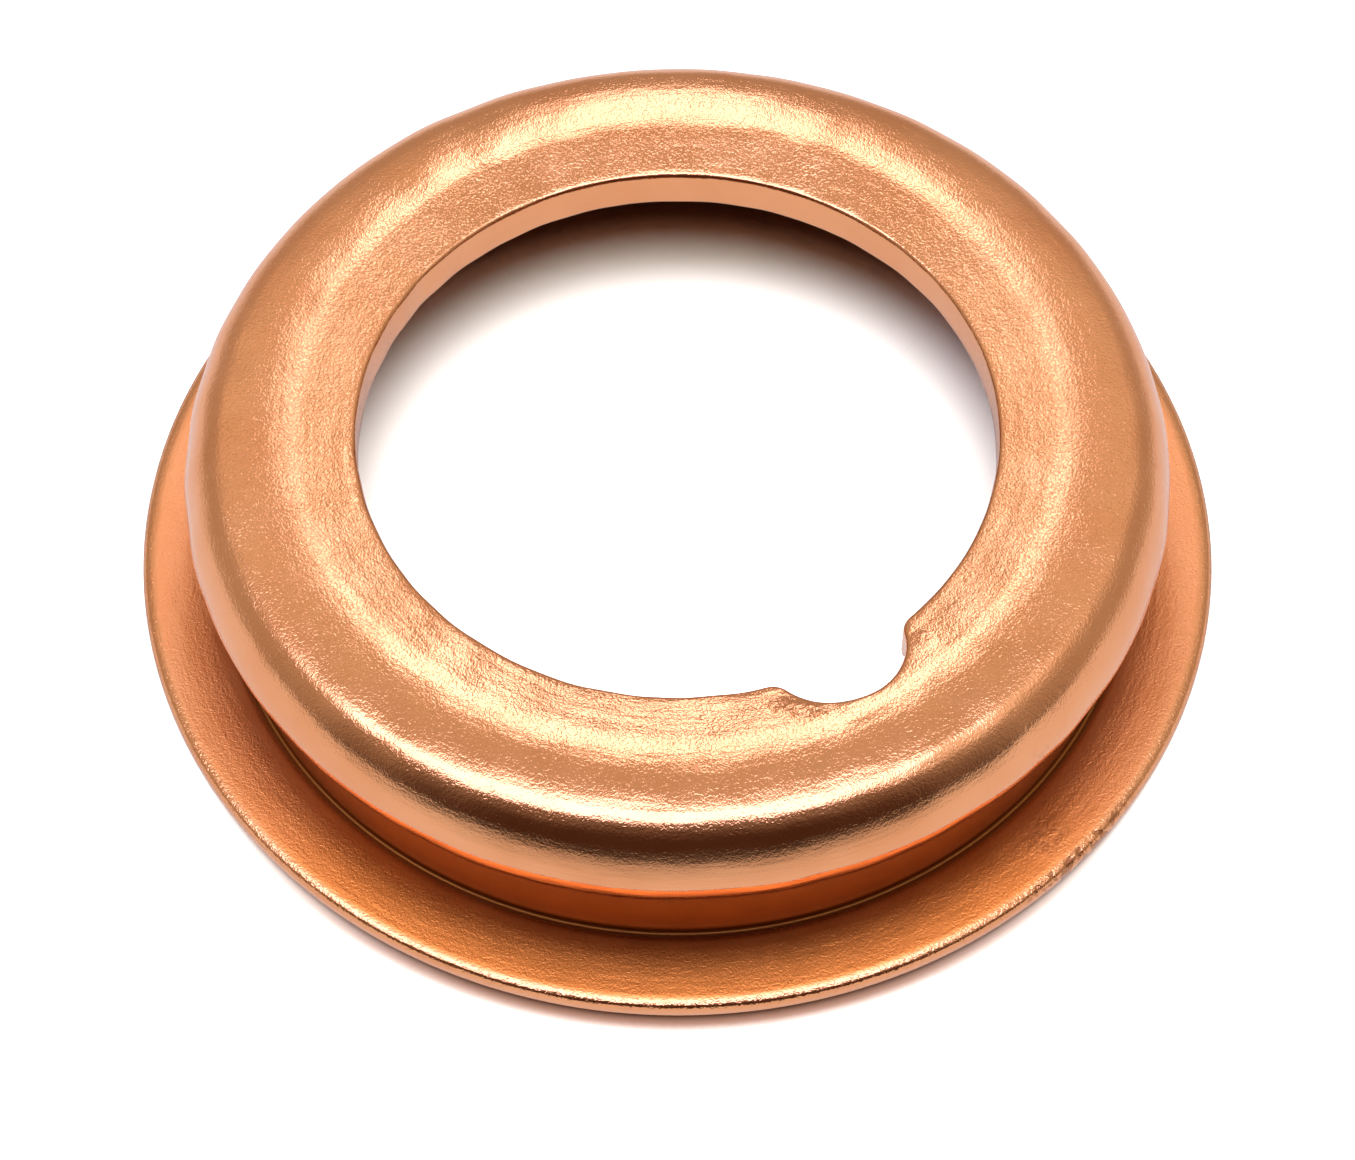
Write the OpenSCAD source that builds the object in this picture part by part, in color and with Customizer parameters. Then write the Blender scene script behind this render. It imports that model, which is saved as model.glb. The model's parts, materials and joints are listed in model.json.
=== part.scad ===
// Copper crush washer: soft copper sheet pressed into a hollow ring, like a hat with no top.
// From the outside in, the sheet runs along a flange, turns up sharply at the root into a neck,
// swells out through a hollow and a tuck into a skirt, folds over the lower edge of a round bead,
// passes over a low crown and slopes down to the bore, where its edge is turned down into a lip.
// The ring is open underneath, so that it crushes when a plug is tightened on its crown.
// All lengths are in millimetres. The ring stands on its root, with +Z up through the bore.

/* [Sheet] */
// Thickness of the copper sheet
sheet_t = 0.3; // [0.2:0.05:0.3]

/* [Bore] */
// Diameter of the bore that the plug's thread passes through
bore_d = 12.2; // [8:0.1:24]
// Rounding of the bore's top edge
bore_edge_r = 0.1; // [0.05:0.01:0.12]
// How far the lip round the bore hangs below the sheet
lip_drop = 0.57; // [0.1:0.01:0.7]
// Width of the lip, from the bore to where it runs into the sheet
lip_w = 0.5; // [0.4:0.05:0.8]
// Rounding of the lip's lower edge
lip_edge_r = 0.15; // [0.05:0.01:0.2]

/* [Notch] */
// How far the notch reaches past the bore
notch_depth = 0.95; // [0.4:0.05:1.2]
// Radius of the notch
notch_r = 1.3; // [1:0.1:2]
// Rounding of the two shoulders where the notch meets the bore
notch_shoulder_r = 0.4; // [0.2:0.05:0.6]
// Bearing of the notch round the ring, in degrees
notch_bearing = -60.5; // [-180:0.5:180]

/* [Crown] */
// Slope of the mouth, from the crown down to the bore, in degrees
mouth_slope = 13; // [6:1:18]
// Bend radius between the mouth and the crown
mouth_bend_r = 2.5; // [1:0.1:4]
// Radius of the crown's low arch
crown_r = 4; // [2:0.5:6]
// Tilt of the crown where it runs into the mouth's bend, in degrees
crown_inner_tilt = 4; // [1:1:5]
// Tilt of the crown where it runs into the bead's shoulder, in degrees
crown_outer_tilt = 12; // [6:1:16]

/* [Bead] */
// Width of the ring from the bore to the widest part of the bead
ring_w = 3.35; // [3.3:0.01:4.2]
// Radius of the bead's round shoulder
shoulder_r = 0.94; // [0.6:0.02:1.2]
// Radius of the bead's flank, below the shoulder
flank_r = 1.98; // [1.4:0.02:2.6]
// Tilt of the flank where it runs into the shoulder, in degrees
flank_top_tilt = 31; // [20:1:45]
// Tilt of the flank at the bead's lower edge, in degrees
flank_low_tilt = 6; // [0:1:12]
// Radius of the fold at the bead's lower edge
fold_r = 0.35; // [0.35:0.05:0.6]

/* [Skirt and neck] */
// Radius of the skirt below the fold
skirt_r = 2.5; // [2:0.1:3]
// Tilt of the skirt where it leaves the fold, in degrees
skirt_top_tilt = 8; // [2:1:14]
// Tilt of the skirt where it runs into the tuck, in degrees
skirt_low_tilt = 30; // [22:1:34]
// Radius of the tuck, where the skirt turns in towards the neck
tuck_r = 0.4; // [0.35:0.05:0.6]
// Tilt of the tuck where it runs into the hollow, in degrees
tuck_tilt = 45; // [36:1:55]
// Radius of the hollow between the tuck and the neck
hollow_r = 0.47; // [0.3:0.01:0.7]
// Height of the straight neck
neck_h = 1.16; // [0.5:0.01:1.6]

/* [Flange] */
// Radius of the corner between the neck and the flange
root_r = 0.06; // [0.05:0.01:0.3]
// How far the flange reaches past the bead
flange_reach = 1.14; // [0.6:0.01:1.8]
// Tilt of the flange at its root, in degrees
flange_root_tilt = 14; // [6:1:20]
// Tilt of the flange at its edge, in degrees
flange_edge_tilt = 0; // [0:1:4]
// Rounding of the flange's two edges
flange_edge_r = 0.1; // [0.05:0.01:0.1]

/* [Hidden] */
$fn = 72;

// Largest turn between two points of a bend, in degrees
bend_step = 7.5;

// Radii of the ring: the neck's follows from the bead's, down through the bends between them
bore_r = bore_d / 2;
bead_r = bore_r + ring_w;
flange_r = bead_r + flange_reach;
skirt_top_r = bead_r - fold_r * (1 - cos(skirt_top_tilt));
skirt_low_r = skirt_top_r - skirt_r * (cos(skirt_top_tilt) - cos(skirt_low_tilt));
tuck_low_r = skirt_low_r - tuck_r * (cos(skirt_low_tilt) - cos(tuck_tilt));
neck_r = tuck_low_r - hollow_r * (1 - cos(tuck_tilt));

// Root, hollow, tuck, skirt and fold: the bends from the flange up to the bead's lower edge
root_centre = [neck_r + root_r, root_r + sheet_t];
hollow_centre = [neck_r + hollow_r, root_centre[1] + neck_h];
tuck_centre = hollow_centre - (hollow_r + tuck_r) * toward(-tuck_tilt);
skirt_centre = tuck_centre - (skirt_r - tuck_r) * toward(-skirt_low_tilt);
fold_centre = skirt_centre + (skirt_r - fold_r) * toward(-skirt_top_tilt);

// Bead and crown: each bend touches the one before it
flank_centre = fold_centre - (flank_r - fold_r) * toward(flank_low_tilt);
shoulder_centre = flank_centre + (flank_r - shoulder_r) * toward(flank_top_tilt);
shoulder_end = 90 - crown_outer_tilt;
crown_centre = shoulder_centre - (crown_r - shoulder_r) * toward(shoulder_end);
crown_end = 90 + crown_inner_tilt;
ring_h = crown_centre[1] + crown_r;
mouth_centre = crown_centre + (crown_r - mouth_bend_r) * toward(crown_end);
mouth_end = 90 + mouth_slope;

// Bore: where the mouth's upper face meets it, and the centres of its two rounded edges
mouth_start = mouth_centre + mouth_bend_r * toward(mouth_end);
bore_top = mouth_start[1] - (mouth_start[0] - bore_r) * tan(mouth_slope);
bore_corner = (90 + mouth_slope) / 2;
bore_edge_centre = [bore_r, bore_top] + bore_edge_r / sin(bore_corner) * toward(bore_corner - 90);
sheet_drop = sheet_t / cos(mouth_slope);
lip_centre = [bore_r + lip_edge_r, bore_top - sheet_drop - lip_drop + lip_edge_r];
lip_end = 300;
lip_root = [bore_r + lip_w, bore_top + lip_w * tan(mouth_slope) - sheet_drop];

// Flange: one wide bend that flattens towards the edge, and the centres of its two rounded edges
root_end = 270 + flange_root_tilt;
flange_start = 90 + flange_root_tilt;
flange_end = 90 + flange_edge_tilt;
flange_end_r = flange_r - flange_edge_r - (sheet_t - flange_edge_r) * sin(flange_edge_tilt);
flange_start_r = root_centre[0] + root_r * sin(flange_root_tilt);
flange_bend_r = (flange_end_r - flange_start_r) / (sin(flange_root_tilt) - sin(flange_edge_tilt));
flange_centre = root_centre - (flange_bend_r + root_r) * toward(flange_start);
edge_low_centre = flange_centre + (flange_bend_r - sheet_t + flange_edge_r) * toward(flange_end);
edge_top_centre = flange_centre + (flange_bend_r - flange_edge_r) * toward(flange_end);

// Unit vector at an angle
function toward(angle) = [cos(angle), sin(angle)];

// Points along a bend, from one angle to another
function bend(centre, r, from, to) =
    let (steps = max(1, ceil(abs(to - from) / bend_step)))
    [for (i = [0:steps]) centre + r * toward(from + (to - from) * i / steps)];

// A closed outline without the points that two touching bends share
function once(points) =
    [for (i = [0:len(points) - 1])
        if (norm(points[i] - points[(i + 1) % len(points)]) > 0.0001) points[i]];

// Upper and outer face of the sheet, from the flange's edge in to the bore
function upper_face() = concat(
    bend(edge_low_centre, flange_edge_r, flange_end - 180, flange_end - 90),
    bend(edge_top_centre, flange_edge_r, flange_end - 90, flange_end),
    bend(flange_centre, flange_bend_r, flange_end, flange_start),
    bend(root_centre, root_r, root_end, 180),
    bend(hollow_centre, hollow_r, 180, 180 - tuck_tilt),
    bend(tuck_centre, tuck_r, -tuck_tilt, -skirt_low_tilt),
    bend(skirt_centre, skirt_r, -skirt_low_tilt, -skirt_top_tilt),
    bend(fold_centre, fold_r, -skirt_top_tilt, flank_low_tilt),
    bend(flank_centre, flank_r, flank_low_tilt, flank_top_tilt),
    bend(shoulder_centre, shoulder_r, flank_top_tilt, shoulder_end),
    bend(crown_centre, crown_r, shoulder_end, crown_end),
    bend(mouth_centre, mouth_bend_r, crown_end, mouth_end)
);

// Wall of the bore, from its rounded top edge down to the lip's rounded lower edge
function bore_face() = concat(
    bend(bore_edge_centre, bore_edge_r, mouth_end, 180),
    bend(lip_centre, lip_edge_r, 180, lip_end),
    [lip_root]
);

// Lower and inner face of the sheet, from the bore back out to the flange
function lower_face() = concat(
    bend(mouth_centre, mouth_bend_r - sheet_t, mouth_end, crown_end),
    bend(crown_centre, crown_r - sheet_t, crown_end, shoulder_end),
    bend(shoulder_centre, shoulder_r - sheet_t, shoulder_end, flank_top_tilt),
    bend(flank_centre, flank_r - sheet_t, flank_top_tilt, flank_low_tilt),
    bend(fold_centre, fold_r - sheet_t, flank_low_tilt, -skirt_top_tilt),
    bend(skirt_centre, skirt_r - sheet_t, -skirt_top_tilt, -skirt_low_tilt),
    bend(tuck_centre, tuck_r - sheet_t, -skirt_low_tilt, -tuck_tilt),
    bend(hollow_centre, hollow_r + sheet_t, 180 - tuck_tilt, 180),
    bend(root_centre, root_r + sheet_t, 180, root_end),
    bend(flange_centre, flange_bend_r - sheet_t, flange_start, flange_end)
);

// Notch seen from above: a round bite out of the bore's edge, with a rounded shoulder each side
module notch_outline() {
    centre = [bore_r + notch_depth - notch_r, 0];
    round_r = bore_r + notch_shoulder_r;
    gap = notch_r + notch_shoulder_r;
    swing = acos((centre[0] ^ 2 + round_r ^ 2 - gap ^ 2) / (2 * centre[0] * round_r));
    left = round_r * toward(swing);
    right = round_r * toward(-swing);
    lean = atan2(left[1], left[0] - centre[0]);
    inside = bore_r / 2;
    polygon(concat(
        [inside * toward(swing)],
        bend(left, notch_shoulder_r, 180 + swing, 180 + lean),
        bend(centre, notch_r, lean, -lean),
        bend(right, notch_shoulder_r, 180 - lean, 180 - swing),
        [inside * toward(-swing)]
    ));
}

// The whole washer: the sheet's section turned round the bore's axis, less the notch
module crush_washer() {
    color([0.80, 0.47, 0.28])
        difference() {
            rotate_extrude()
                polygon(once(concat(upper_face(), bore_face(), lower_face())));
            rotate(notch_bearing)
                linear_extrude(height = ring_h + sheet_t)
                    notch_outline();
        }
}

crush_washer();
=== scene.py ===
"""A copper crush washer on a pale studio floor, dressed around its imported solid."""
import json
import math

import bpy
import numpy as np
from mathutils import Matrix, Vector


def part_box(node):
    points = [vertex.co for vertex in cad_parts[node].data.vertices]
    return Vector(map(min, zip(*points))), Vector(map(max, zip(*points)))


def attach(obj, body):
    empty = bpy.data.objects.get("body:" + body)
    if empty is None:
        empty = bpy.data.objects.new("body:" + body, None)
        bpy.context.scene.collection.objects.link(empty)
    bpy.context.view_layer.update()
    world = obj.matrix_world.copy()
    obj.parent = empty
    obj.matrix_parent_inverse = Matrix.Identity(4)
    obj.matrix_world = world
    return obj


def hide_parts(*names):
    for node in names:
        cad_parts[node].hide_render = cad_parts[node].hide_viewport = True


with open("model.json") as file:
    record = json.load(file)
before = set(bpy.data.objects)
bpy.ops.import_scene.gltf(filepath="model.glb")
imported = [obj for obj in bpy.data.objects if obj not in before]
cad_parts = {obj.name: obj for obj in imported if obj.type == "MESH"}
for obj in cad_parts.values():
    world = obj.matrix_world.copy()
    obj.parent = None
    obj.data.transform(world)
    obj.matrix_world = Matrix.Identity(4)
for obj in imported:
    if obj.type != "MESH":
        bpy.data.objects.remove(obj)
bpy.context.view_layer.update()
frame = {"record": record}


# Pressed ring
# Soft copper sheet, pressed in one piece into a hollow ring: a thin flange, a sharp root, an upright neck,
# a skirt that swells out from it, a round bead folded over the skirt, a low crown and a mouth that slopes
# down to a notched bore. Sizes are in millimetres, and the bore's and the flange's radius are the solid's.
MM = 0.001
SHEET = 0.3
RING_W = 3.35
BORE_R = frame["record"]["mounts"][0]["dims"]["r_mm"]
FLANGE_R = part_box("crush_washer")[1][0] / MM
BEAD_R = BORE_R + RING_W


def toward(degrees):
    """Unit vectors at the given angles, one row for each angle."""
    angle = np.radians(degrees)
    return np.stack([np.cos(angle), np.sin(angle)], axis=-1)


def bend(centre, radius, start, end, count):
    """Points on an arc: the centre plus the radius times the unit vector, at even angles with both ends."""
    return np.asarray(centre) + radius * toward(np.linspace(start, end, count))


def run(start, end, count):
    """Points spaced evenly on a straight line, without its two ends."""
    share = np.linspace(0.0, 1.0, count + 2)[1:-1, None]
    return (1.0 - share) * np.asarray(start) + share * np.asarray(end)


# The neck's radius follows from the bead's, down through the fold, the skirt, the tuck and the hollow.
FOLD_R = 0.35
SKIRT_R = 2.5
TUCK_R = 0.4
HOLLOW_R = 0.47
NECK_H = 1.16
ROOT_R = 0.06
skirt_top, skirt_low, tuck_low = 8.0, 30.0, 45.0
top_in, low_in, tuck_in = 1.0 - toward([skirt_top, skirt_low, tuck_low])[:, 0]
swell = FOLD_R * top_in + SKIRT_R * (low_in - top_in) + TUCK_R * (tuck_in - low_in) + HOLLOW_R * tuck_in
neck_r = BEAD_R - swell

# Centres of the bends, from the root up: each bend touches the one before it.
FLANK_R = 1.98
SHOULDER_R = 0.94
CROWN_R = 4.0
MOUTH_BEND_R = 2.5
MOUTH_SLOPE = 13.0
flank_low, flank_top = 6.0, 31.0
shoulder_end = 78.0
crown_end = 94.0
mouth_end = 90.0 + MOUTH_SLOPE
root_c = np.array([neck_r + ROOT_R, ROOT_R + SHEET])
hollow_c = np.array([neck_r + HOLLOW_R, root_c[1] + NECK_H])
tuck_c = hollow_c - (HOLLOW_R + TUCK_R) * toward(-tuck_low)
skirt_c = tuck_c - (SKIRT_R - TUCK_R) * toward(-skirt_low)
fold_c = skirt_c + (SKIRT_R - FOLD_R) * toward(-skirt_top)
flank_c = fold_c - (FLANK_R - FOLD_R) * toward(flank_low)
shoulder_c = flank_c + (FLANK_R - SHOULDER_R) * toward(flank_top)
crown_c = shoulder_c - (CROWN_R - SHOULDER_R) * toward(shoulder_end)
mouth_c = crown_c + (CROWN_R - MOUTH_BEND_R) * toward(crown_end)
mouth_top = mouth_c + MOUTH_BEND_R * toward(mouth_end)
slope = math.tan(math.radians(MOUTH_SLOPE))
bore_top = mouth_top[1] - (mouth_top[0] - BORE_R) * slope

# The bore's rounded top edge and the lip's rounded lower edge.
EDGE_R = 0.1
LIP_R = 0.15
LIP_DROP = 0.57
LIP_W = 0.5
half_corner = math.radians(mouth_end / 2.0)
edge_c = np.array([BORE_R, bore_top]) + EDGE_R / math.sin(half_corner) * toward(mouth_end / 2.0 - 90.0)
sheet_drop = SHEET / math.cos(math.radians(MOUTH_SLOPE))
lip_c = np.array([BORE_R + LIP_R, bore_top - sheet_drop - LIP_DROP + LIP_R])
lip_root = np.array([BORE_R + LIP_W, bore_top + LIP_W * slope - sheet_drop])

# The flange: one wide bend that flattens out at the edge, with two rounded edges.
FLANGE_TILT = 14.0
FLANGE_EDGE_R = 0.1
flange_start = 90.0 + FLANGE_TILT
tilt_sin = math.sin(math.radians(FLANGE_TILT))
flange_bend_r = (FLANGE_R - FLANGE_EDGE_R - root_c[0]) / tilt_sin - ROOT_R
flange_c = root_c - (flange_bend_r + ROOT_R) * toward(flange_start)
edge_low_c = flange_c + np.array([0.0, flange_bend_r - SHEET + FLANGE_EDGE_R])
edge_top_c = flange_c + np.array([0.0, flange_bend_r - FLANGE_EDGE_R])

# The closed section, as radius and height, from the flange's edge in to the bore and back underneath.
# A bend leaves out the points that it shares with the bends beside it.
MOUTH_RUN = 9
flange_rim = np.vstack([
    bend(edge_low_c, FLANGE_EDGE_R, -90.0, 0.0, 5), bend(edge_top_c, FLANGE_EDGE_R, 0.0, 90.0, 8)])
flange_face = bend(flange_c, flange_bend_r, 90.0, flange_start, 16)[1:-1]
root_face = bend(root_c, ROOT_R, 270.0 + FLANGE_TILT, 180.0, 7)
hollow_face = bend(hollow_c, HOLLOW_R, 180.0, 180.0 - tuck_low, 8)
tuck_face = bend(tuck_c, TUCK_R, -tuck_low, -skirt_low, 4)[1:]
skirt_face = bend(skirt_c, SKIRT_R, -skirt_low, -skirt_top, 7)[1:]
fold_face = bend(fold_c, FOLD_R, -skirt_top, flank_low, 4)[1:]
flank_face = bend(flank_c, FLANK_R, flank_low, flank_top, 11)[1:]
shoulder_face = bend(shoulder_c, SHOULDER_R, flank_top, shoulder_end, 14)[1:]
crown_face = bend(crown_c, CROWN_R, shoulder_end, crown_end, 10)[1:]
mouth_face = bend(mouth_c, MOUTH_BEND_R, crown_end, mouth_end, 6)[1:]
bore_edge = bend(edge_c, EDGE_R, mouth_end, 180.0, 6)
lip_edge = bend(lip_c, LIP_R, 180.0, 300.0, 7)
mouth_under = bend(mouth_c, MOUTH_BEND_R - SHEET, mouth_end, crown_end, 3)
crown_under = bend(crown_c, CROWN_R - SHEET, crown_end, shoulder_end, 4)[1:]
shoulder_under = bend(shoulder_c, SHOULDER_R - SHEET, shoulder_end, flank_top, 6)[1:]
flank_under = bend(flank_c, FLANK_R - SHEET, flank_top, flank_low, 4)[1:]
fold_under = bend(fold_c, FOLD_R - SHEET, flank_low, -skirt_top, 2)[1:]
skirt_under = bend(skirt_c, SKIRT_R - SHEET, -skirt_top, -skirt_low, 4)[1:]
tuck_under = bend(tuck_c, TUCK_R - SHEET, -skirt_low, -tuck_low, 2)[1:]
hollow_under = bend(hollow_c, HOLLOW_R + SHEET, 180.0 - tuck_low, 180.0, 6)[1:]
root_under = bend(root_c, ROOT_R + SHEET, 180.0, 270.0 + FLANGE_TILT, 9)
flange_under = bend(flange_c, flange_bend_r - SHEET, flange_start, 90.0, 6)[1:-1]

upper = np.vstack([
    flange_rim, flange_face, root_face, run(root_face[-1], hollow_face[0], 5), hollow_face, tuck_face,
    skirt_face, fold_face, flank_face, shoulder_face, crown_face, mouth_face,
    run(mouth_face[-1], bore_edge[0], MOUTH_RUN)])
inner = np.vstack([bore_edge, run(bore_edge[-1], lip_edge[0], 2), lip_edge, lip_root])
under = np.vstack([
    run(lip_root, mouth_under[0], 2), mouth_under, crown_under, shoulder_under, flank_under, fold_under,
    skirt_under, tuck_under, hollow_under, root_under, flange_under])
section = np.vstack([upper, inner, under])

# The notch: a circle across the bore's edge, with a rounded shoulder each side.
NOTCH_BEARING = -60.5
NOTCH_R = 1.3
NOTCH_DEPTH = 0.95
NOTCH_SHOULDER_R = 0.4
notch_mid = BORE_R + NOTCH_DEPTH - NOTCH_R
round_mid = BORE_R + NOTCH_SHOULDER_R
gap = NOTCH_R + NOTCH_SHOULDER_R
swing = math.acos((notch_mid ** 2 + round_mid ** 2 - gap ** 2) / (2.0 * notch_mid * round_mid))
lean = math.atan2(round_mid * math.sin(swing), round_mid * math.cos(swing) - notch_mid)
touch = math.atan2(NOTCH_R * math.sin(lean), notch_mid + NOTCH_R * math.cos(lean))


def from_notch(bearing):
    """The angle between a bearing and the notch's, in radians, without its sign."""
    return np.abs((bearing - math.radians(NOTCH_BEARING) + math.pi) % (2.0 * math.pi) - math.pi)


def mouth_outline(bearing):
    """The bore's edge in plan, as a radius for each bearing in radians. Inside the notch it is the far
    crossing of the notch's circle, on the shoulders the near crossing of their rounding, else the bore."""
    away = from_notch(bearing)
    off = notch_mid * np.sin(away)
    far = notch_mid * np.cos(away) + np.sqrt(np.clip(NOTCH_R ** 2 - off ** 2, 0.0, None))
    beside = round_mid * np.sin(away - swing)
    rounding = np.sqrt(np.clip(NOTCH_SHOULDER_R ** 2 - beside ** 2, 0.0, None))
    near = round_mid * np.cos(away - swing) - rounding
    return np.where(away < touch, far, np.where(away < swing, near, BORE_R))


def even_bearings(count):
    """Bearings round the ring that crowd at the notch: a density of one plus a wide bump on the notch and
    a narrow one on its shoulders, summed up and read back at even shares."""
    fine = np.linspace(-math.pi, math.pi, 7201)
    away = from_notch(fine)
    density = 1.0 + 2.5 * np.exp(-(away / 0.2) ** 2) + 5.0 * np.exp(-((away - touch) / 0.05) ** 2)
    total = np.concatenate([[0.0], np.cumsum((density[1:] + density[:-1]) / 2.0)])
    return np.interp(np.arange(count) / count, total / total[-1], fine)


def lip_depth(radius):
    """How far the sheet reaches below the mouth's face at a radius: the whole lip at the bore, falling
    evenly to the bare sheet where the lip ends."""
    full = 1.5 * LIP_R
    depths = [sheet_drop + LIP_DROP + full * slope, sheet_drop]
    return np.interp(radius, [BORE_R + full, BORE_R + LIP_W], depths)


def notched_ring(profile, bearings):
    """Vertices of the ring, as bearing by section by axis. A point of the profile turns round the axis;
    near the bore its plan place is the edge's outline, moved along the outline's normal by the point's
    distance from the bore and then eased out to a plain circle. Its height follows the mouth's face, less
    the depth below it, which shrinks where the notch cuts through the lip."""
    radius, height = profile.T
    spokes = toward(np.degrees(bearings))
    edge = mouth_outline(bearings)[:, None] * spokes
    along = np.roll(edge, -1, axis=0) - np.roll(edge, 1, axis=0)
    along /= np.linalg.norm(along, axis=1, keepdims=True)
    outward = np.stack([along[:, 1], -along[:, 0]], axis=-1)
    plain_r = 8.2
    edge_zone = 0.3
    lip_bottom = lip_c[1] - LIP_R - 0.01
    depth_in = radius - BORE_R
    share = np.clip((depth_in - edge_zone) / (plain_r - BORE_R - edge_zone), 0.0, 1.0)[None, :, None]
    near = edge[:, None] + np.clip(depth_in, 0.0, edge_zone)[None, :, None] * outward[:, None]
    eased = (1.0 - share) * near + share * plain_r * spokes[:, None]
    turned = radius[None, :, None] * spokes[:, None]
    mouth = ((radius < plain_r) & (height > lip_bottom))[None, :, None]
    plan = np.where(mouth, eased, turned)
    face = upper[::-1][: len(crown_face) + len(mouth_face) + MOUTH_RUN]
    face_r, face_z = np.vstack([[BORE_R, bore_top], face]).T
    below = np.interp(radius, face_r, face_z) - height
    plan_r = np.linalg.norm(plan, axis=-1)
    cut = (lip_depth(plan_r) - EDGE_R) / (lip_depth(radius) - EDGE_R)
    below = np.minimum(below, EDGE_R) + np.maximum(below - EDGE_R, 0.0) * cut
    lifted = np.interp(plan_r, face_r, face_z) - below
    tall = np.where(mouth[..., 0], lifted, height)
    return np.concatenate([plan, tall[..., None]], axis=-1)


def grid_normals(points):
    """Unit normals of a grid closed both ways: the cross product of its central differences."""
    round_way = np.roll(points, -1, axis=0) - np.roll(points, 1, axis=0)
    section_way = np.roll(points, -1, axis=1) - np.roll(points, 1, axis=1)
    normal = np.cross(round_way, section_way)
    return -normal / np.linalg.norm(normal, axis=-1, keepdims=True)


def pressing_waves(points, bearings):
    """Height of the sheet's slight unevenness: a sum of seeded cosine waves over the bearing and the
    section's own length, each a few millimetres long and a few microns high. It fades out towards the
    ring's foot, which stands flat."""
    wave_count = 26
    foot_z = 0.3
    draw = np.random.default_rng(7)
    length = np.concatenate([[0.0], np.cumsum(np.linalg.norm(np.diff(section, axis=0), axis=1))])
    height = np.zeros(points.shape[:2])
    for _ in range(wave_count):
        turns = draw.integers(3, 42)
        across = draw.uniform(-2.2, 2.2)
        phase = draw.uniform(0.0, 2.0 * math.pi)
        rise = draw.uniform(0.0008, 0.0022)
        height += rise * np.cos(turns * bearings[:, None] + across * length[None] + phase)
    return height * np.clip(points[..., 2] - foot_z, 0.0, 1.0)


bearings = even_bearings(580)
ring = notched_ring(section, bearings)
ring = ring + pressing_waves(ring, bearings)[..., None] * grid_normals(ring)

ring_mesh = bpy.data.meshes.new("pressed_ring")
spoke_count, point_count = ring.shape[:2]
corner = np.arange(spoke_count * point_count).reshape(spoke_count, point_count)
next_spoke = np.roll(corner, -1, axis=0)
quads = np.stack([corner, np.roll(corner, -1, axis=1), np.roll(next_spoke, -1, axis=1), next_spoke], axis=-1)
ring_mesh.from_pydata((ring.reshape(-1, 3) * MM).tolist(), [], quads.reshape(-1, 4).tolist())
ring_mesh.polygons.foreach_set("use_smooth", np.ones(spoke_count * point_count, dtype=bool))
ring_mesh.update()
pressed_ring = bpy.data.objects.new("pressed_ring", ring_mesh)
bpy.context.scene.collection.objects.link(pressed_ring)


def node(tree, kind, values=None, **settings):
    """Adds a shader node, sets its properties, and sets or links its inputs by name or number."""
    made = tree.nodes.new(kind)
    for name, value in settings.items():
        setattr(made, name, value)
    for name, value in (values or {}).items():
        if isinstance(value, bpy.types.NodeSocket):
            tree.links.new(value, made.inputs[name])
        else:
            made.inputs[name].default_value = value
    return made


def maths(tree, operation, first, second=0.0):
    """One operation on two values, either of which may be a socket."""
    return node(tree, "ShaderNodeMath", {0: first, 1: second}, operation=operation).outputs[0]


def ramp(tree, value, low, high, from_value=0.0, to_value=1.0):
    """A smooth step from one value to another as the input goes from low to high."""
    made = node(tree, "ShaderNodeMapRange", {0: value, 1: low, 2: high, 3: from_value, 4: to_value})
    made.interpolation_type = "SMOOTHSTEP"
    return made.outputs[0]


def blend(tree, share, first, second):
    """A colour between two colours, by a share from 0 to 1."""
    return node(tree, "ShaderNodeMix", {0: share, 6: first, 7: second}, data_type="RGBA").outputs[2]


copper = bpy.data.materials.new("pressed_copper")
copper.use_nodes = True
skin = copper.node_tree
skin.nodes.clear()
place = node(skin, "ShaderNodeTexCoord").outputs["Object"]
place_mm = node(skin, "ShaderNodeMapping", {"Vector": place, "Scale": (1.0 / MM,) * 3}).outputs[0]
axes = node(skin, "ShaderNodeSeparateXYZ", {0: place_mm})
height_mm = axes.outputs[2]
flat = node(skin, "ShaderNodeCombineXYZ", {0: axes.outputs[0], 1: axes.outputs[1]}).outputs[0]
radius_mm = node(skin, "ShaderNodeVectorMath", {0: flat}, operation="LENGTH").outputs[1]
spoke = node(skin, "ShaderNodeVectorMath", {0: flat}, operation="NORMALIZE").outputs[0]


def times(first, second):
    """The product of two of the copper's values."""
    return maths(skin, "MULTIPLY", first, second)


def larger(first, second):
    """The larger of two of the copper's values."""
    return maths(skin, "MAXIMUM", first, second)


def noise(scale, detail=2.0, roughness=0.5, distortion=0.0):
    """A noise over the copper, with its scale in waves for each millimetre."""
    values = {"Vector": place_mm, "Scale": scale, "Detail": detail}
    values.update({"Roughness": roughness, "Distortion": distortion})
    return node(skin, "ShaderNodeTexNoise", values).outputs[0]


def streaks(along, across):
    """Streaks that follow the ring: their waves in one radian of the ring and in one millimetre across it.
    Their noise runs over the spoke, the height and the radius, so that they close round the ring."""
    rise = node(skin, "ShaderNodeCombineXYZ", {2: times(height_mm, across)}).outputs[0]
    turned = node(skin, "ShaderNodeVectorMath", {0: spoke, 3: along}, operation="SCALE").outputs[0]
    wound = node(skin, "ShaderNodeVectorMath", {0: turned, 1: rise}, operation="ADD").outputs[0]
    values = {"Vector": wound, "W": times(radius_mm, across), "Scale": 1.0, "Detail": 2.0}
    return node(skin, "ShaderNodeTexNoise", values, noise_dimensions="4D").outputs[0]


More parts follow.
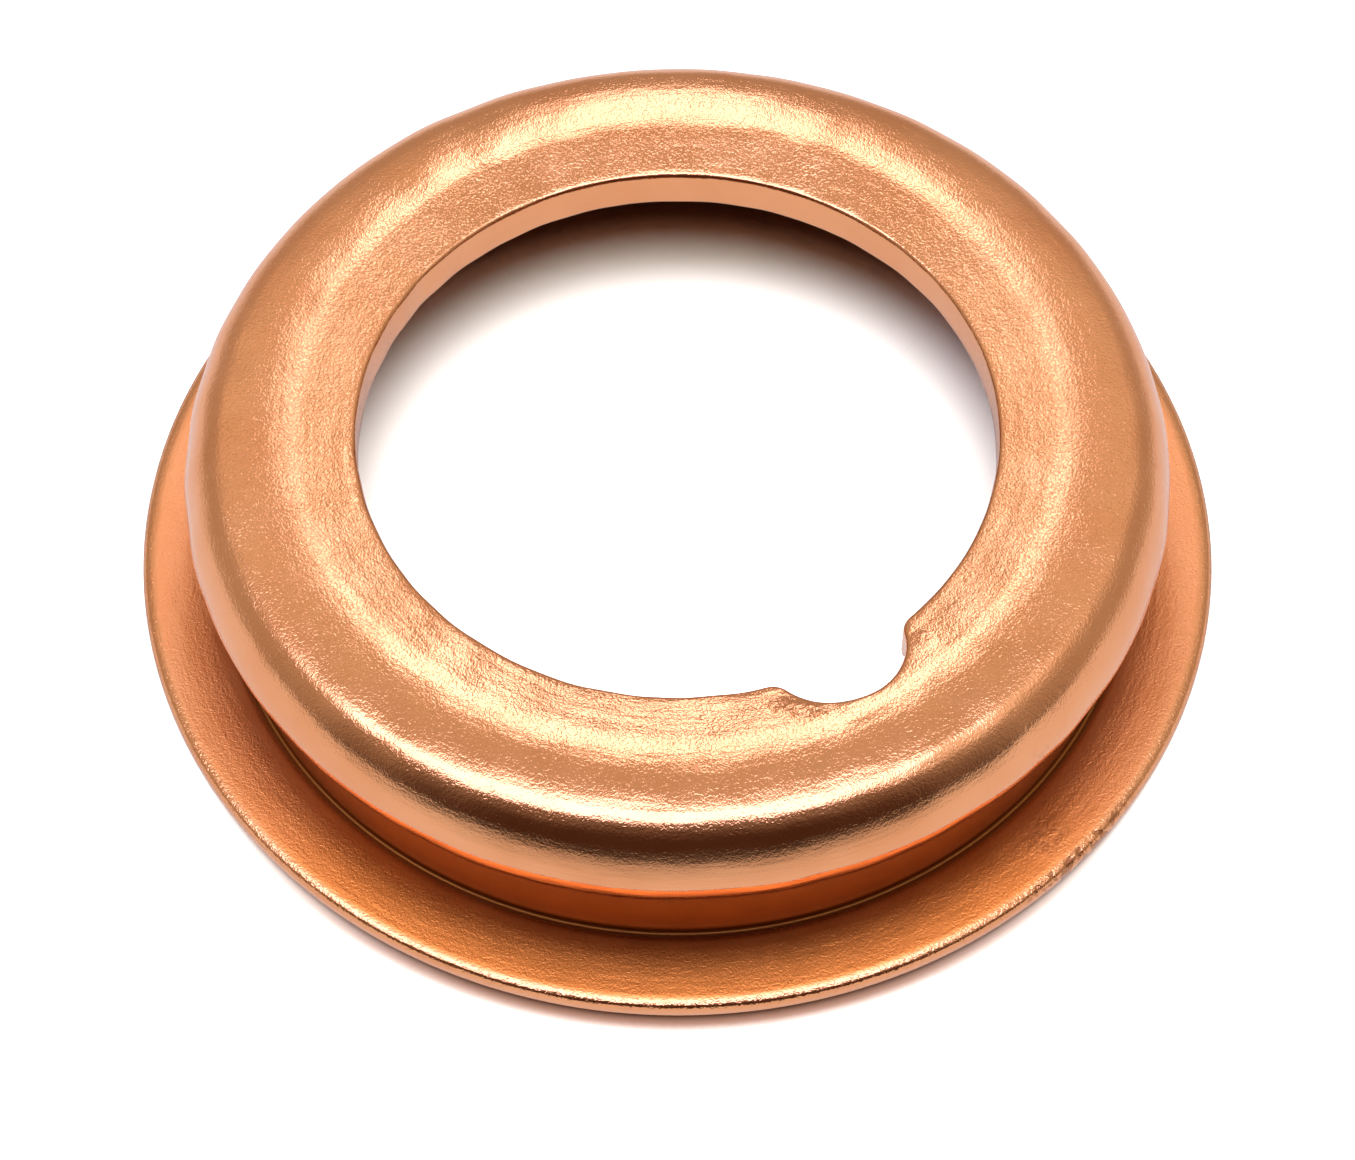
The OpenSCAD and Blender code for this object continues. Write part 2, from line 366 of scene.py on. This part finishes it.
def mark(bearing, radius, length, width, turn=0.0):
    """A soft oval patch on the ring, as a share from 0 to 1: its middle by bearing and radius, its half
    length and half width in millimetres, and its turn in degrees from the spoke."""
    middle = radius * toward(bearing)
    mid_height, half_height = 3.0, 6.0
    values = {
        "Vector": place_mm, "Location": (middle[0], middle[1], mid_height),
        "Rotation": (0.0, 0.0, math.radians(bearing + turn)), "Scale": (length, width, half_height)}
    inside = node(skin, "ShaderNodeMapping", values, vector_type="TEXTURE").outputs[0]
    away = node(skin, "ShaderNodeVectorMath", {0: inside}, operation="LENGTH").outputs[1]
    return ramp(skin, away, 0.45, 1.0, 1.0, 0.0)


# Parts of the ring, as shares from 0 to 1: the crown, the bead's side, the flange with its rim, the neck,
# and the left and right of the crown, which are rubbed duller.
top = ramp(skin, height_mm, 2.6, 3.9)
side = ramp(skin, height_mm, 3.0, 3.95, 1.0, 0.25)
flange = times(ramp(skin, radius_mm, 9.02, 9.2), ramp(skin, height_mm, 0.55, 0.75, 1.0, 0.0))
neck = times(ramp(skin, radius_mm, 9.0, 9.15, 1.0, 0.0), ramp(skin, height_mm, 1.7, 2.1, 1.0, 0.0))
rim_top = ramp(skin, radius_mm, 10.3, 10.45)
sideways = maths(skin, "ABSOLUTE", node(skin, "ShaderNodeSeparateXYZ", {0: spoke}).outputs[0])
rubbed = times(ramp(skin, sideways, 0.6, 0.97), top)

# Skin of the pressed sheet: a fine curled grain all over, a wide ripple, and streaks drawn round the ring,
# broad on the crown and narrow on the bead.
curl = noise(19.0, detail=0.6, distortion=0.9)
fine = noise(34.0, detail=1.5)
ripple = noise(2.2, detail=1.5)
drawn = streaks(13.0, 9.0)
broad = streaks(4.0, 3.5)

# Wear: a crumpled smear beside the notch, a smaller one on its other shoulder, small burrs on the far side
# of the bore, and a scuff on the flange with nicks along its edge.
crumple = noise(5.0, detail=2.0, distortion=1.0)
smear = larger(mark(-71.4, 6.85, 0.7, 0.3, 52.0), times(mark(-48.2, 6.7, 0.3, 0.25), 0.4))
smear = larger(smear, times(mark(-168.0, 6.2, 0.16, 0.9), 0.7))
scuff = mark(-45.5, 9.85, 0.6, 0.7)
scuffed_rim = times(ramp(skin, radius_mm, 10.36, 10.46), mark(-45.0, 10.5, 0.6, 2.4))
nicks = times(scuffed_rim, ramp(skin, noise(4.5, detail=1.0), 0.5, 0.6))


def raised(height, pattern, depth):
    """A height with a pattern added to it, by a depth in millimetres for one unit of the pattern."""
    return maths(skin, "ADD", height, times(pattern, depth))


# Height of the surface in millimetres, summed from the layers above. The flange's rim rolls over, by the
# square of the distance past the roll's start, and the neck and the root are left smooth.
ROLL_START_R = 10.27
MEAN_HEIGHT = 0.0135
grain = raised(ramp(skin, top, 0.0, 1.0, 0.002, 0.0048), flange, 0.008)
grain = raised(grain, rubbed, 0.0035)
height = times(curl, grain)
height = raised(height, fine, 0.001)
height = raised(height, ripple, 0.006)
height = raised(height, times(drawn, side), 0.007)
height = raised(height, broad, 0.011)
height = raised(height, times(crumple, smear), 0.03)
height = raised(height, times(crumple, scuff), 0.02)
height = raised(height, nicks, -0.012)
past_roll = larger(maths(skin, "SUBTRACT", radius_mm, ROLL_START_R), 0.0)
height = raised(height, maths(skin, "POWER", past_roll, 2.0), -0.95)
rough_part = larger(ramp(skin, radius_mm, 9.08, 9.5), ramp(skin, height_mm, 1.7, 2.1))
level = maths(skin, "SUBTRACT", height, MEAN_HEIGHT)
height_m = times(times(level, rough_part), MM)
bump = node(skin, "ShaderNodeBump", {"Height": height_m, "Strength": 1.0, "Distance": 1.0}).outputs[0]

# Colour: bright copper with faint warmer clouds; a satin flange in deeper orange, partly its own colour and
# partly painted light, for light falling and bouncing onto it, full at the front and back and fading at the
# sides; painted shade in the neck's recess, dark brown; and worn brown in the scuff and the nicks. The
# flange's satin scatters a little of its light.
BRIGHT_COPPER = (0.90, 0.40, 0.175, 1.0)
CLOUDED_COPPER = (0.86, 0.36, 0.15, 1.0)
FLANGE_LIT_ORANGE = (1.0, 0.34, 0.075, 1.0)
NECK_SHADE_BROWN = (0.26, 0.09, 0.018, 1.0)
WORN_BROWN = (0.36, 0.13, 0.05, 1.0)
cloud = ramp(skin, noise(0.45, detail=4.0, roughness=0.6), 0.35, 0.7)
satin = maths(skin, "SUBTRACT", flange, rim_top)
# The flange's deeper orange, partly painted light: full at the front and back, fading at the sides.
flange_lit_share = times(satin, ramp(skin, sideways, 0.55, 0.95, 1.0, 0.3))
dull = larger(times(scuff, ramp(skin, crumple, 0.4, 0.6, 0.5, 0.0)), nicks)
base = blend(skin, cloud, BRIGHT_COPPER, CLOUDED_COPPER)
base = blend(skin, flange_lit_share, base, FLANGE_LIT_ORANGE)
# Painted shade: the neck's recess under the bead is painted dark brown.
base = blend(skin, neck, base, NECK_SHADE_BROWN)
base = blend(skin, times(dull, 0.7), base, WORN_BROWN)
worn = ramp(skin, noise(1.3, detail=5.0, roughness=0.65), 0.3, 0.75, 0.11, 0.17)
matt = larger(larger(times(satin, 0.3), times(neck, 0.28)), times(rubbed, 0.08))
scatter = times(flange_lit_share, ramp(skin, radius_mm, 9.2, 10.1, 0.0, 0.09))
surface = node(skin, "ShaderNodeBsdfPrincipled", {
    "Base Color": base, "Metallic": maths(skin, "SUBTRACT", 1.0, scatter),
    "Roughness": maths(skin, "ADD", worn, matt), "Normal": bump})
node(skin, "ShaderNodeOutputMaterial", {"Surface": surface.outputs[0]})
ring_mesh.materials.append(copper)

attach(pressed_ring, "root")
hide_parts("crush_washer")


# Floor
# A wide sheet of matt white paper that the washer stands on. Its colour has a painted shadow close to the
# ring, inside it and in front of it. The copper sees it painted darker towards the near side, as the camera's
# shadow.
FLOOR_HALF = 1.5
PAPER_WHITE = (0.98, 0.93, 0.82, 1.0)
PAPER_SHADE = (0.24, 0.13, 0.085, 1.0)
floor_mesh = bpy.data.meshes.new("paper_floor")
floor_corners = [(x * FLOOR_HALF, y * FLOOR_HALF, 0.0) for x, y in ((-1, -1), (1, -1), (1, 1), (-1, 1))]
floor_mesh.from_pydata(floor_corners, [], [(0, 1, 2, 3)])
paper_floor = bpy.data.objects.new("paper_floor", floor_mesh)
bpy.context.scene.collection.objects.link(paper_floor)
paper = bpy.data.materials.new("white_paper")
paper.use_nodes = True
sheet = paper.node_tree
sheet.nodes.clear()
floor_place = node(sheet, "ShaderNodeTexCoord").outputs["Object"]
floor_y = node(sheet, "ShaderNodeSeparateXYZ", {0: floor_place}).outputs[1]
floor_r = node(sheet, "ShaderNodeVectorMath", {0: floor_place}, operation="LENGTH").outputs[1]
# Painted shadow of the camera: the paper that the copper sees darkens towards the near side.
lit = node(sheet, "ShaderNodeMapRange", {0: floor_y, 1: -45.0 * MM, 2: -12.0 * MM, 3: 0.0, 4: 1.0}).outputs[0]
mirrored = maths(sheet, "ADD", maths(sheet, "MULTIPLY", maths(sheet, "POWER", lit, 2.0), 0.32), 0.03)
# Painted shadow on the paper: darker where little open sky is left, close to the ring, inside it and in front
# of it.
open_sky = node(sheet, "ShaderNodeAmbientOcclusion", {"Distance": 1.0 * MM}, samples=16).outputs["AO"]
inside_ring = ramp(sheet, floor_r, 8.7 * MM, 9.0 * MM, 1.0, 0.0)
in_front = ramp(sheet, floor_y, -10.5 * MM, -4.0 * MM, 1.0, 0.0)
covered = ramp(sheet, open_sky, 0.58, 0.93, 1.0, 0.0)
shade = maths(sheet, "MULTIPLY", covered, maths(sheet, "MAXIMUM", inside_ring, in_front))
plain = blend(sheet, shade, PAPER_WHITE, PAPER_SHADE)
direct = node(sheet, "ShaderNodeLightPath").outputs["Is Camera Ray"]
paper_face = node(sheet, "ShaderNodeBsdfDiffuse", {"Color": blend(sheet, direct, mirrored, plain)})
node(sheet, "ShaderNodeOutputMaterial", {"Surface": paper_face.outputs[0]})
floor_mesh.materials.append(paper)


# Light
# A studio seen by the copper: one broad cool softbox overhead with a dim wing to its right, pale wings, a
# glow and a wall behind, and warm darkness on the near side. The plain camera background is white.
studio = bpy.data.worlds.new("studio")
bpy.context.scene.world = studio
studio.use_nodes = True
sky = studio.node_tree
sky.nodes.clear()
way = node(sky, "ShaderNodeTexCoord").outputs["Generated"]
parts = node(sky, "ShaderNodeSeparateXYZ", {0: way})
upward = maths(sky, "MAXIMUM", parts.outputs[2], 0.02)
across = maths(sky, "DIVIDE", parts.outputs[0], upward)
back = maths(sky, "DIVIDE", parts.outputs[1], upward)
above = ramp(sky, parts.outputs[2], 0.0, 0.1)


def panel(left, right, near, far, blur):
    """A soft-edged rectangle overhead, as a share from 0 to 1: the product of four smooth steps in the
    direction's slope to the side and to the back."""
    share = ramp(sky, across, left - blur, left + blur)
    share = maths(sky, "MULTIPLY", share, ramp(sky, across, right - blur, right + blur, 1.0, 0.0))
    share = maths(sky, "MULTIPLY", share, ramp(sky, back, near - blur, near + blur))
    share = maths(sky, "MULTIPLY", share, ramp(sky, back, far - blur, far + blur, 1.0, 0.0))
    return maths(sky, "MULTIPLY", share, above)


def tinted(share, colour):
    """A colour scaled by a share."""
    return node(sky, "ShaderNodeVectorMath", {0: colour, 3: share}, operation="SCALE").outputs[0]


def added(first, second):
    """The sum of two colours."""
    return node(sky, "ShaderNodeVectorMath", {0: first, 1: second}, operation="ADD").outputs[0]


softbox = tinted(panel(-0.75, 0.42, -0.37, 0.13, 0.05), (2.7, 2.95, 4.8))
right_wing = tinted(panel(0.42, 0.85, -0.35, 0.35, 0.1), (0.4, 0.42, 0.5))
back_glow = tinted(panel(-1.1, 1.1, -0.2, 1.5, 0.3), (0.15, 0.14, 0.125))
wings = maths(sky, "ADD", panel(-1.0, -0.2, 0.55, 1.05, 0.07), panel(0.2, 1.0, 0.55, 1.05, 0.07))
back_wings = tinted(wings, (0.25, 0.24, 0.23))
wall = tinted(ramp(sky, parts.outputs[1], -0.85, 0.0), (0.43, 0.42, 0.4))
room = added(wall, (0.07, 0.038, 0.03))
light = added(added(softbox, right_wing), added(added(back_wings, back_glow), room))
studio_light = node(sky, "ShaderNodeBackground", {"Color": light, "Strength": 1.0})
plain_white = node(sky, "ShaderNodeBackground", {"Color": (1.0, 1.0, 1.0, 1.0), "Strength": 1.0})
seen = node(sky, "ShaderNodeLightPath").outputs["Is Camera Ray"]
view_mix = node(sky, "ShaderNodeMixShader", {0: seen, 1: studio_light.outputs[0], 2: plain_white.outputs[0]})
node(sky, "ShaderNodeOutputWorld", {"Surface": view_mix.outputs[0]})

# A narrow strip lamp close behind the washer and above it, which only the copper shows.
strip = bpy.data.lights.new("back_strip", "AREA")
strip.shape = "RECTANGLE"
strip.size = 16.0 * MM
strip.size_y = 58.0 * MM
strip.energy = 0.0072
strip.color = (1.0, 1.06, 1.55)
back_strip = bpy.data.objects.new("back_strip", strip)
back_strip.location = (0.0, 64.0 * MM, 64.0 * MM)
back_strip.visible_camera = False
back_strip.visible_diffuse = False
bpy.context.scene.collection.objects.link(back_strip)

# A wide lamp high above that lights the paper and is not mirrored in the copper, so the floor stays white.
fill = bpy.data.lights.new("floor_fill", "AREA")
fill.shape = "DISK"
fill.size = 0.5
fill.energy = 7.5
floor_fill = bpy.data.objects.new("floor_fill", fill)
floor_fill.location = (0.0, -0.12, 0.6)
floor_fill.visible_glossy = False
bpy.context.scene.collection.objects.link(floor_fill)


# Camera
# A short tele lens that looks down on the washer from the front, at the photograph's angle. Its distance
# and the height it aims at are in millimetres, its focal length and its drop in the photograph's pixels.
PHOTO_W = 1355.0
FOCAL_PX = 3195.2
DISTANCE = 63.59
LOOK_DOWN = 55.62
FRAME_DROP_PX = 52.94
AIM_HEIGHT = 0.41
lens = bpy.data.cameras.new("camera")
lens.sensor_width = 36.0
lens.sensor_fit = "HORIZONTAL"
lens.lens = FOCAL_PX / PHOTO_W * lens.sensor_width
lens.shift_y = -FRAME_DROP_PX / PHOTO_W
lens.clip_start = 0.001
camera = bpy.data.objects.new("camera", lens)
down = math.radians(LOOK_DOWN)
camera.location = (0.0, -DISTANCE * math.cos(down) * MM, (AIM_HEIGHT + DISTANCE * math.sin(down)) * MM)
camera.rotation_euler = (math.radians(90.0) - down, 0.0, 0.0)
bpy.context.scene.collection.objects.link(camera)
bpy.context.scene.camera = camera
bpy.context.scene.view_settings.view_transform = "Standard"
